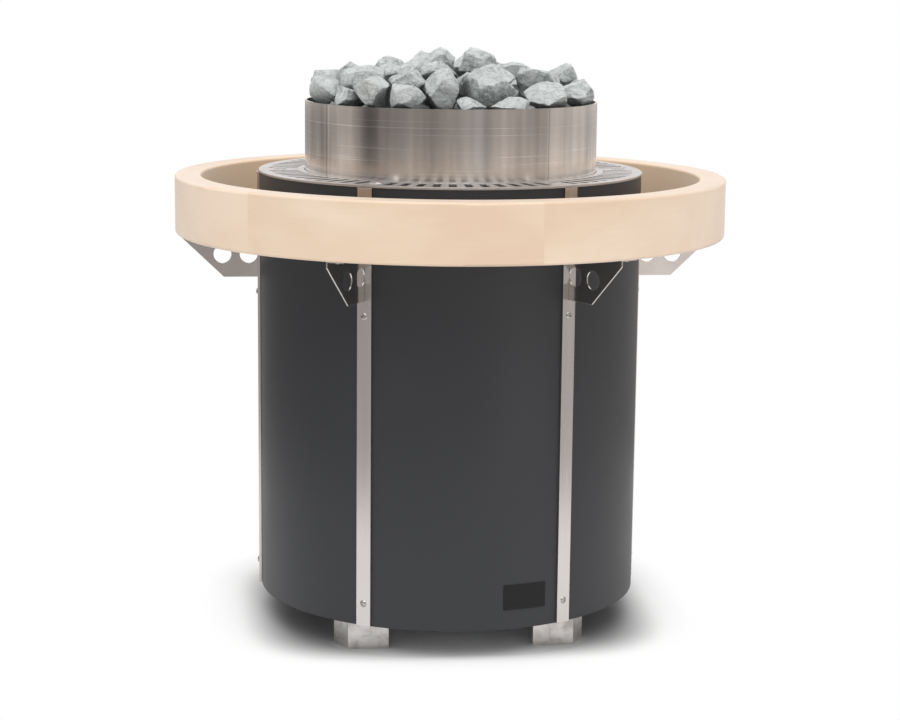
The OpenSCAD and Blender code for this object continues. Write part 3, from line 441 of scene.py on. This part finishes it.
def makeRailWood(spec):
    # boards glued end to end: each has its own stretch of grain and a slightly different tone;
    # the inner wall is painted paler and warmer, as light bounced inside the rail
    material, tree, shader, place = startMaterial("railWood", IOR=1.46, Coat_Weight=0.55, Coat_Roughness=0.34,
                                                  Sheen_Weight=0.25, Sheen_Roughness=0.45)
    ring = useGroup(tree, roundCoordinates, Vector=place, Start=math.radians(spec["firstJoint"]),
                    Mean_Radius=spec["meanRadius"])
    board = calc(tree, "DIVIDE", ring["Turn"], math.tau / spec["boards"])
    number = calc(tree, "FLOOR", board)
    along = calc(tree, "FRACT", calc(tree, "ADD", board, 0.5))  # 0.5 at a joint
    toJoint = calc(tree, "ABSOLUTE", calc(tree, "SUBTRACT", along, 0.5))
    grain = useGroup(tree, woodGrain, Vector=ring["Unrolled"], Seed=number)
    ownTone = addNode(tree, "TexWhiteNoise", {"noise_dimensions": "1D"}, W=number).outputs["Value"]
    tone = calc(tree, "ADD", grain["Tone"],
                spread(tree, ownTone, 0.0, 1.0, -spec["boardTone"], spec["boardTone"]))
    color = mixColors(tree, spread(tree, tone, *spec["toneSpan"]), spec["pale"], spec["warm"])
    # painted light: the inner wall is paler and warmer, standing for light bounced inside the rail
    color = mixColors(tree, spread(tree, ring["Radius"], *spec["innerRadius"], 0.0, spec["innerShare"]), color,
                      spec["inner"])
    color = mixColors(tree, times(tree, grain["Line"], spec["lineShare"]), color, spec["line"])
    glue = spread(tree, toJoint, *spec["glueWidth"], 1.0, 0.0)
    color = mixColors(tree, times(tree, glue, spec["glueShare"]), color, spec["glue"])
    height = calc(tree, "SUBTRACT", grain["Height"], times(tree, glue, spec["glueDepth"]))
    feed(tree, shader, Base_Color=color, Roughness=varied(tree, grain["Height"], *spec["roughness"]),
         Normal=bump(tree, height, 0.35, spec["grainDepth"]))
    return material


# each layer is what it reads, where it starts, where it is full, its share there, its tint, eased or not
stoneLook = {"pale": (0.88, 0.915, 0.91), "mid": (0.80, 0.845, 0.835), "deepAndUnderShade": (0.32, 0.36, 0.35),
             # the crevice colour is a painted shade between stones, laid where the ambient occlusion is low
             "chalkAndTopLight": (0.93, 0.96, 0.955), "creviceShade": (0.07, 0.08, 0.075), "creviceShadeReach": 0.045,
             "roughness": (0.75, 0.93), "ownTone": 0.22, "grainDepth": 0.005,
             "layers": [("patch", 0.34, 0.56, 1.0, "mid", True), ("patch", 0.48, 0.70, 1.0, "pale", True),
                        # the two facing layers are painted light on upward faces and painted shade on downward
                        # ones
                        ("edge", 0.004, 0.03, 0.5, "chalkAndTopLight", False), ("facing", 0.25, 0.85, 0.62, "chalkAndTopLight", True),
                        ("facing", 0.15, -0.45, 0.12, "deepAndUnderShade", True), ("speck", 0.51, 0.60, 0.80, "chalkAndTopLight", False),
                        ("speck", 0.46, 0.34, 0.62, "deepAndUnderShade", False), ("layer", 0.46, 0.36, 0.45, "deepAndUnderShade", False),
                        ("layer", 0.54, 0.64, 0.45, "chalkAndTopLight", False), ("crack", 0.03, 0.0, 0.35, "deepAndUnderShade", False),
                        ("openness", 0.66, 0.24, 0.92, "creviceShade", True)]}


def makeStone(spec):
    # broken grey-green rock: patches, specks, chalky edges, painted light on upward faces and painted shade on
    # downward ones, painted shade in the crevices between stones; every stone has its own tone
    material, tree, shader, place = startMaterial("stone", IOR=1.5)
    rock = useGroup(tree, rockGrain, Vector=place)
    own = addNode(tree, "Attribute", {"attribute_name": "stoneTone"}).outputs["Fac"]
    patch = calc(tree, "ADD", rock["Patch"], times(tree, calc(tree, "SUBTRACT", own, 0.5), spec["ownTone"]))
    normal = addNode(tree, "NewGeometry").outputs["Normal"]
    read = {"patch": patch, "speck": rock["Speck"], "layer": rock["Layer"], "crack": rock["Crack"],
            "edge": addNode(tree, "Attribute", {"attribute_name": "stoneEdge"}).outputs["Fac"],
            # facing is the normal's height, for painted light above and painted shade below; openness feeds the
            # painted crevice shade
            "facing": splitVector(tree, normal)["Z"],
            "openness": addNode(tree, "AmbientOcclusion", {"samples": 8},
                                Distance=spec["creviceShadeReach"]).outputs["AO"]}
    color = spec["deepAndUnderShade"]
    for source, start, full, share, tint, eased in spec["layers"]:
        color = mixColors(tree, spread(tree, read[source], start, full, 0.0, share, eased), color, spec[tint])
    feed(tree, shader, Base_Color=color, Roughness=varied(tree, rock["Patch"], *spec["roughness"]),
         Normal=bump(tree, rock["Height"], 1.0, spec["grainDepth"]))
    return material


ceramicLook = {"color": (0.74, 0.70, 0.62), "second": (0.82, 0.79, 0.72), "size": 30.0, "roughness": 0.55}
leadLook = {"color": (0.42, 0.10, 0.06), "second": (0.50, 0.14, 0.08), "size": 40.0, "roughness": 0.55}
glandLook = {"color": (0.025, 0.025, 0.026), "second": (0.035, 0.035, 0.036), "size": 50.0, "roughness": 0.5}
sheathLook = {"color": (0.10, 0.09, 0.085), "second": (0.17, 0.14, 0.12), "size": 40.0, "roughness": 0.55,
              "metallic": 0.8}
plainMatter = {"fineness": 14, "roughSwing": 0.06, "grainDepth": 0.00006}  # the same on all of them


def makePlainMatter(name, spec, common=plainMatter):
    # cast or moulded matter with a little grain: ceramic, rubber, plastic, oxidised tube
    material, tree, shader, place = startMaterial(name, Metallic=spec.get("metallic", 0.0), IOR=1.5)
    cloud = noise(tree, place, spec["size"], 4.0, 0.6)
    fine = noise(tree, place, spec["size"] * common["fineness"])
    rough, swing = spec["roughness"], common["roughSwing"]
    feed(tree, shader, Base_Color=mixColors(tree, varied(tree, cloud, 0.0, 1.0), spec["color"], spec["second"]),
         Roughness=varied(tree, fine, rough - swing, rough + swing),
         Normal=bump(tree, fine, 0.4, common["grainDepth"]))
    return material


finishes = {
    "galvanised_steel": makeBrushedSteel("galvanisedSteel", zincLook),
    "leg_steel": makeBrushedSteel("legSteel", legSteelLook),
    "jacket_coating": makeCoating("jacketCoating", jacketLook),
    "strip_steel": makeBrushedSteel("stripSteel", stripSteelLook),
    "bracket_steel": makeBrushedSteel("bracketSteel", bracketSteelLook),
    "rail_wood": makeRailWood(railLook),
    "plate_steel": makeBrushedSteel("plateSteel", plateSteelLook),
    "drum_steel": makeDrumSteel(drumLook),
    "grate_steel": makeBrushedSteel("grateSteel", grateSteelLook),
    "element_sheath": makePlainMatter("elementSheath", sheathLook),
    "fastener_steel": makeBrushedSteel("fastenerSteel", fastenerLook),
    "ceramic": makePlainMatter("ceramic", ceramicLook),
    "lead_silicone": makePlainMatter("leadSilicone", leadLook),
    "gland_plastic": makePlainMatter("glandPlastic", glandLook),
    "badge_black": makeCoating("badgeBlack", badgeLook),
    "stone": makeStone(stoneLook),
}
for part in frame["record"]["subparts"]:
    for materialSlot in frame["nodes"][part["node"]].material_slots:
        materialSlot.material = finishes[part["material_slot"]]
print("finishes assigned:", len(finishes))


def addPiece(name, node, points, faces, slotName, sharpAngle, attributes=None):
    # a mesh in its finish, which rides on the heater and stands for a CAD node
    mesh = bpy.data.meshes.new(name)
    mesh.from_pydata(points, [], faces)
    for label, values in (attributes or {}).items():
        mesh.attributes.new(label, "FLOAT", "POINT").data.foreach_set("value", values.astype(np.float32))
    mesh.shade_smooth()
    mesh.set_sharp_from_angle(angle=math.radians(sharpAngle))
    mesh.materials.append(finishes[slotName])
    piece = bpy.data.objects.new(name, mesh)
    scene.collection.objects.link(piece)
    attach(piece, "root")
    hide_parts(node)
    print(name, "faces:", len(mesh.polygons))


stoneShape = {"crisp": 260.0, "keptShare": 0.42, "keptReach": (0.92, 1.04), "looseReach": 1.22,
              "topTilt": 0.45, "topShare": 0.92, "extraCuts": 4, "cutDepth": (0.66, 0.90), "dents": 5,
              "dentWidth": 0.20, "dentPower": 1.5, "dentSize": (0.2, 1.0), "dentDepth": 0.09, "waves": 14,
              "waveTurns": (60, 700), "wavePhase": 6.28, "ripple": 0.027, "rippleGain": 3, "leastFacing": 0.02,
              "noPlane": 10.0, "drumRadius": 0.2262, "drumTop": 0.818, "roof": 0.9005, "sharpAngle": 24.0}
# the node's stones that each mesh takes, so that none grows too heavy; cells along a side; first seed
stoneHeaps = {"upperStonesOuter": ("upper_stones", slice(0, 19), 26, 100),
              "upperStonesInner": ("upper_stones", slice(19, None), 26, 100),
              "lowerStones": ("lower_stones", slice(None), 8, 500)}


def cubeDirections(cells):
    # unit vectors over a cube's six sides, as tangents of two even angles (a, b); shared edges are merged
    angle = np.tan(np.linspace(-math.pi / 4, math.pi / 4, cells + 1))
    a, b = np.meshgrid(angle, angle, indexing="ij")
    one = np.ones_like(a)
    sides = [(a, b, one), (b, a, -one), (one, a, b), (-one, b, a), (b, one, a), (a, -one, b)]
    points = np.concatenate([np.stack(side, -1).reshape(-1, 3) for side in sides])
    corner = (np.arange(cells)[:, None] * (cells + 1) + np.arange(cells)).ravel()
    quad = np.stack([corner, corner + cells + 1, corner + cells + 2, corner + 1], 1)
    faces = np.concatenate([quad + k * (cells + 1) ** 2 for k in range(6)])
    _, first, back = np.unique(points.round(6), axis=0, return_index=True, return_inverse=True)
    points = points[first]
    return points / np.linalg.norm(points, axis=1, keepdims=True), back.ravel()[faces]


def splitStones(node):
    # the CAD stones one by one, as arrays of their corner points and of their triangles' corner numbers
    mesh = frame["nodes"][node].data
    mesh.calc_loop_triangles()
    points = np.zeros(len(mesh.vertices) * 3, np.float32)
    mesh.vertices.foreach_get("co", points)
    triangles = np.zeros(len(mesh.loop_triangles) * 3, np.int32)
    mesh.loop_triangles.foreach_get("vertices", triangles)
    corners, back = np.unique(points.reshape(-1, 3).round(5), axis=0, return_inverse=True)
    triangles = back.ravel()[triangles.reshape(-1, 3)]
    label = np.arange(len(corners))
    for _ in range(40):  # every triangle hands its lowest label to its corners, until each stone has one
        np.minimum.at(label, triangles, np.repeat(label[triangles].min(1)[:, None], 3, 1))
    return [(corners, triangles[label[triangles[:, 0]] == k]) for k in np.unique(label)]


def unitRows(vectors):
    return vectors / np.maximum(np.linalg.norm(vectors, axis=1, keepdims=True), 1e-12)


def shapeStone(corners, triangles, directions, spec, seed):
    # distance from the middle to the nearest face plane along each direction, as a soft minimum: some of the
    # CAD stone's planes, a few new cuts, then shallow dents and fine ridges; the drum's wall holds it in
    random = np.random.default_rng(seed)
    own = corners[np.unique(triangles)]
    middle, lowest = own.mean(0), own[:, 2].min()
    a, b, c = (corners[triangles[:, k]] for k in range(3))
    normals = unitRows(np.cross(b - a, c - a))
    reach = ((a - middle) * normals).sum(1)
    normals = np.where(reach[:, None] < 0, -normals, normals)
    cuts = unitRows(random.normal(size=(spec["extraCuts"], 3)))
    cutReach = ((own - middle) @ cuts.T).max(0) * random.uniform(*spec["cutDepth"], spec["extraCuts"])
    kept = random.uniform(size=len(normals)) < spec["keptShare"]
    reach = np.abs(reach) * np.where(kept, random.uniform(*spec["keptReach"], len(normals)), spec["looseReach"])
    top = np.array([*random.uniform(-spec["topTilt"], spec["topTilt"], 2), 1.0])
    top /= np.linalg.norm(top)
    topReach = ((own - middle) @ top).max() * spec["topShare"]
    planes = np.concatenate([normals, cuts, [top, [0, 0, 1], [0, 0, -1]]])
    away = np.concatenate([reach, cutReach, [topReach, spec["roof"] - middle[2], middle[2] - lowest]])
    facing = directions @ planes.T
    distance = np.where(facing > spec["leastFacing"], away / np.maximum(facing, spec["leastFacing"]),
                        spec["noPlane"])
    hard = distance.min(1)
    soft = (distance / hard[:, None]) ** -spec["crisp"]
    radius = hard * soft.sum(1) ** (-1 / spec["crisp"])
    edge = 1 - radius / hard
    dents = unitRows(random.normal(size=(spec["dents"], 3)))
    near = np.clip((directions @ dents.T - 1 + spec["dentWidth"]) / spec["dentWidth"], 0, 1)
    sizes = random.uniform(*spec["dentSize"], spec["dents"])
    radius = radius * (1 - (near ** spec["dentPower"] * sizes).sum(1) * spec["dentDepth"])
    turns = np.geomspace(*spec["waveTurns"], spec["waves"])
    waves = random.normal(size=(spec["waves"], 3)) * turns[:, None]
    weight = turns ** -0.5 / (turns ** -0.5).sum()
    phase = random.uniform(0, spec["wavePhase"], spec["waves"])
    ridges = 1 - 2 * np.abs(np.sin((directions * radius[:, None]) @ waves.T + phase))
    radius = radius * (1 - spec["ripple"] * (1 + (ridges * weight).sum(1) * spec["rippleGain"]))
    points = middle + directions * radius[:, None]
    room = spec["drumRadius"] + np.maximum(points[:, 2] - spec["drumTop"], 0)
    points[:, :2] *= np.minimum(1, room / np.hypot(points[:, 0], points[:, 1]))[:, None]
    return points, edge


def buildStones(name, node, taken, cells, seed, spec):
    directions, faces = cubeDirections(cells)
    stones = [shapeStone(corners, triangles, directions, spec, seed + k)
              for k, (corners, triangles) in list(enumerate(splitStones(node)))[taken]]
    tones = np.random.default_rng(seed).uniform(0, 1, len(stones))
    allFaces = np.concatenate([faces + k * len(directions) for k in range(len(stones))])
    addPiece(name, node, np.concatenate([points for points, _ in stones]), allFaces.tolist(), "stone",
             spec["sharpAngle"], {"stoneTone": np.repeat(tones, len(directions)),
                                  "stoneEdge": np.concatenate([edge for _, edge in stones])})


for heap, (node, taken, cells, seed) in stoneHeaps.items():
    buildStones(heap, node, taken, cells, seed, stoneShape)
print("stones heaped")

stripScrew = {"headRadius": 0.0054, "headHeight": 0.003, "domeSteps": 8, "shankRadius": 0.0025,
              "shankLength": 0.0092, "recess": 0.42, "recessDepth": 0.0015, "recessRim": 1.25,
              "floorShares": (0.5, 0.84), "wallShare": 0.94, "wallDrop": 0.0002, "lobes": 6, "lobeShare": 0.16,
              "pole": 0.02, "faceRadius": 0.304, "azimuths": (30, 90, 150, 210, 270, 330),
              "heights": (0.080, 0.517), "steps": 48, "sharpAngle": 32.0}


def buildStripScrews(spec):
    # profile from the recess floor over the domed head and down the shank, carried round the screw's axis;
    # the recess wall swells and narrows with the cosine of the number of lobes
    turn = np.linspace(0, math.tau, spec["steps"], endpoint=False)
    lobe = spec["lobeShare"] * np.cos(spec["lobes"] * turn)
    head, shank, recess = spec["headRadius"], spec["shankRadius"], spec["recess"] * spec["headRadius"]
    dome = np.linspace(recess * spec["recessRim"], head, spec["domeSteps"])
    ball = (head ** 2 + spec["headHeight"] ** 2) / (2 * spec["headHeight"])
    domeHeight = np.sqrt(ball ** 2 - dome ** 2) - ball + spec["headHeight"]
    rim = domeHeight[0]
    floor, tip = rim - spec["recessDepth"], -spec["shankLength"]
    profile = [(spec["pole"] * recess, floor, 0)]  # radius, height, lobed or not
    profile += [(share * recess, floor, 1) for share in spec["floorShares"]]
    profile += [(spec["wallShare"] * recess, rim - spec["wallDrop"], 1), (recess, rim, 1)]
    profile += [(radius, height, 0) for radius, height in zip(dome, domeHeight)]
    profile += [(shank, 0, 0), (shank, tip, 0), (spec["pole"] * shank, tip, 0)]
    radius, height, lobed = np.array(profile).T[:, :, None]
    radius = radius * (1 + lobed * lobe)
    local = np.stack([radius * np.cos(turn), radius * np.sin(turn), height + 0 * turn], -1)
    rings, around = local.shape[:2]
    start = (np.arange(rings - 1)[:, None] * around + np.arange(around)).ravel()
    following = (np.arange(rings - 1)[:, None] * around + (np.arange(around) + 1) % around).ravel()
    quads = np.stack([start, start + around, following + around, following], 1)
    caps = np.stack([np.arange(around)[::-1], np.arange(around) + (rings - 1) * around])
    points, upright = [], np.array([0.0, 0.0, 1.0])
    for azimuth in np.radians(spec["azimuths"]):
        outward = np.array([math.sin(azimuth), -math.cos(azimuth), 0.0])
        sideways = np.array([math.cos(azimuth), math.sin(azimuth), 0.0])
        turned = local.reshape(-1, 3) @ np.stack([sideways, upright, outward]) + outward * spec["faceRadius"]
        points += [turned + upright * height for height in spec["heights"]]
    first = np.arange(len(points))[:, None, None] * rings * around
    faces = (quads + first).reshape(-1, 4).tolist() + (caps + first).reshape(-1, around).tolist()
    addPiece("stripScrewHeads", "strip_screws", np.concatenate(points), faces, "fastener_steel",
             spec["sharpAngle"])


buildStripScrews(stripScrew)
print("screws built")


def seenByCamera(tree):
    # 1 for rays that show the surface itself or its mirror image, 0 for the light that it sends on
    rays = addNode(tree, "LightPath").outputs
    direct = calc(tree, "ADD", rays["Is Camera Ray"], rays["Is Glossy Ray"])
    return calc(tree, "ADD", direct, rays["Is Transmission Ray"], clamp=True)


def addStage(name, points, faces, material):
    mesh = bpy.data.meshes.new(name)
    mesh.from_pydata(points, [], faces)
    mesh.materials.append(material)
    made = bpy.data.objects.new(name, mesh)
    scene.collection.objects.link(made)
    return made


# how pale the floor is to the camera, in mirror images and for the light it sends on, and its soft shade
studioFloor = {"size": 160.0, "white": 1.0, "gloss": 0.88, "bounce": 0.74, "flatten": 1.09, "power": 4.0,
               "shadeRadius": (0.249, 0.347), "shadeDepth": 0.22, "frontWidth": (0.08, 0.22),
               "frontDepth": 0.66, "plainRadius": (0.31, 0.41)}


def buildFloor(spec):
    # a white floor with a soft shade round the heater's foot: a rounded square, whose distance is the fourth
    # root of x^4 + (flatten times y)^4; paler along the middle line, and plain white past the shade
    material, tree, shader, place = startMaterial("floorWhite", Roughness=0.95, Specular_IOR_Level=0.0,
                                                  Emission_Color=(1.0, 1.0, 1.0, 1.0))
    parts = splitVector(tree, place)
    aside = calc(tree, "ABSOLUTE", parts["X"])
    ahead = calc(tree, "ABSOLUTE", times(tree, parts["Y"], spec["flatten"]))
    powers = [calc(tree, "POWER", side, spec["power"]) for side in (aside, ahead)]
    away = calc(tree, "POWER", calc(tree, "ADD", *powers), 1 / spec["power"])
    shade = calc(tree, "MAXIMUM", spread(tree, away, *spec["shadeRadius"], spec["shadeDepth"], 1.0, True),
                 spread(tree, aside, *spec["frontWidth"], spec["frontDepth"], spec["shadeDepth"], True))
    camera = addNode(tree, "LightPath").outputs["Is Camera Ray"]
    color = mixColors(tree, seenByCamera(tree), gray(spec["bounce"]), gray(spec["gloss"]))
    color = mixColors(tree, camera, color, gray(spec["white"]))
    color = mixColors(tree, 1.0, color, shade, "MULTIPLY")
    plain = times(tree, camera, spread(tree, away, *spec["plainRadius"], 0.0, 1.0, True))
    fromBelow = addNode(tree, "NewGeometry").outputs["Backfacing"]  # clear there, so the base can be seen
    feed(tree, shader, Base_Color=mixColors(tree, plain, color, gray(0.0)), Emission_Strength=plain,
         Alpha=calc(tree, "SUBTRACT", 1.0, fromBelow))
    half = spec["size"] / 2
    addStage("studioFloor", [(-half, -half, 0), (half, -half, 0), (half, half, 0), (-half, half, 0)],
             [(0, 1, 2, 3)], material)


# levels are (share of a full turn from the back, brightness), for the wall's upper and lower part
studioWall = {"radius": 1.13, "height": 0.84, "rise": 0.40, "riseAlong": (0.1, -0.7), "fade": 0.12,
              "foot": 0.06, "tint": (1.0, 0.95, 0.92), "columns": 96, "rows": 8, "bands": (9.0, 9.0, 0.3),
              "bandLevels": (0.55, 1.45), "lowHeights": (0.57, 0.42), "lowShare": 0.85,
              "upperLevels": [(0.0, 0.45), (0.14, 0.30), (0.22, 0.34), (0.262, 0.60), (0.295, 0.28),
                              (0.333, 0.20), (0.40, 0.36), (0.445, 0.30), (0.485, 0.32), (0.55, 0.48),
                              (0.565, 0.60), (0.60, 0.74), (0.62, 0.52), (0.70, 0.60), (0.77, 0.70),
                              (0.90, 0.55), (1.0, 0.45)],
              "lowerLevels": [(0.0, 0.95), (0.05, 0.95), (0.13, 0.46), (0.20, 0.15), (0.30, 0.15),
                              (0.345, 0.46), (0.545, 0.46), (0.565, 1.0), (0.62, 1.0), (0.645, 0.48),
                              (0.87, 0.48), (0.95, 0.95), (1.0, 0.95)]}


def ringRamp(tree, turn, levels):
    ramp = addNode(tree, "ValToRGB", None, Fac=turn)
    stops = ramp.color_ramp.elements
    while len(stops) < len(levels):
        stops.new(0.5)
    for stop, (share, level) in zip(stops, levels):
        stop.position, stop.color = share, (*gray(level), 1.0)
    return ramp.outputs[0]


def buildWall(spec):
    # a low grey ring that only metal and gloss can see, darker and lighter by turns as a studio is: points are
    # (radius times sine, minus radius times cosine, height); white at its foot and above its grey, which
    # reaches higher in front
    columns, rows = spec["columns"], spec["rows"]
    around, up = np.meshgrid(np.linspace(0, math.tau, columns + 1)[:-1],
                             np.linspace(0, spec["height"] + spec["rise"], rows + 1), indexing="ij")
    points = np.stack([spec["radius"] * np.sin(around), -spec["radius"] * np.cos(around), up], -1)
    column, row = (grid.ravel() for grid in np.meshgrid(np.arange(columns), np.arange(rows), indexing="ij"))
    corner, beside = column * (rows + 1) + row, (column + 1) % columns * (rows + 1) + row
    material, tree, _, place = startMaterial("studioWall")
    turn = calc(tree, "DIVIDE", useGroup(tree, roundCoordinates, Vector=place, Start=math.pi)["Turn"], math.tau)
    bands = varied(tree, noise(tree, stretch(tree, place, spec["bands"]), detail=3.0, roughness=0.6),
                   *spec["bandLevels"])
    upper = mixColors(tree, 1.0, ringRamp(tree, turn, spec["upperLevels"]), bands, "MULTIPLY")
    parts = splitVector(tree, place)
    level = mixColors(tree, spread(tree, parts["Z"], *spec["lowHeights"], 0.0, spec["lowShare"], True), upper,
                      ringRamp(tree, turn, spec["lowerLevels"]))
    level = mixColors(tree, spread(tree, parts["Z"], spec["foot"], 0.0, 0.0, 1.0, True), level, gray(1.0))
    lifted = calc(tree, "SUBTRACT", parts["Z"], spread(tree, parts["Y"], *spec["riseAlong"], 0.0, spec["rise"]))
    aboveWall = spread(tree, lifted, spec["height"] - spec["fade"], spec["height"], 0.0, 1.0, True)
    level = mixColors(tree, aboveWall, level, gray(1.0))
    glow = addNode(tree, "Emission", None, Color=mixColors(tree, 1.0, level, spec["tint"], "MULTIPLY"))
    tree.links.new(glow.outputs[0], tree.nodes["Material Output"].inputs["Surface"])
    material.cycles.emission_sampling = "NONE"
    wall = addStage("studioWall", points.reshape(-1, 3),
                    np.stack([corner, beside, beside + 1, corner + 1], 1).tolist(), material)
    wall.visible_camera = wall.visible_diffuse = wall.visible_shadow = wall.visible_transmission = False


studioLight = {"sunPower": 1.35, "sunAngle": 50.0, "sunHeight": 64.0, "sunAzimuth": -6.0,
               "horizon": 0.95, "zenith": 0.72, "zenithFrom": 0.8, "sides": 1.30, "sidesFrom": 0.3}


def buildLights(spec):
    # one large soft light from above, and an even sky that metal and the camera see as white
    sun = bpy.data.objects.new("softSun", bpy.data.lights.new("softSun", "SUN"))
    sun.data.energy, sun.data.angle = spec["sunPower"], math.radians(spec["sunAngle"])
    sun.rotation_euler = (math.radians(90 - spec["sunHeight"]), 0.0, math.radians(spec["sunAzimuth"]))
    scene.collection.objects.link(sun)
    world = bpy.data.worlds.new("studioSky")
    world.use_nodes = True
    tree = world.node_tree
    sky = tree.nodes["Background"]
    toward = splitVector(tree, addNode(tree, "TexCoord").outputs["Generated"])
    aside = calc(tree, "ABSOLUTE", toward["X"])
    lit = times(tree, spread(tree, toward["Z"], 0.0, spec["zenithFrom"], spec["horizon"], spec["zenith"]),
                spread(tree, aside, spec["sidesFrom"], 1.0, 1.0, spec["sides"]))
    tree.links.new(calc(tree, "MAXIMUM", lit, seenByCamera(tree)), sky.inputs["Strength"])
    sky.inputs["Color"].default_value = (1.0, 1.0, 1.0, 1.0)
    scene.world = world


buildFloor(studioFloor)
buildWall(studioWall)
buildLights(studioLight)
scene.view_settings.view_transform = "Standard"
print("studio built")
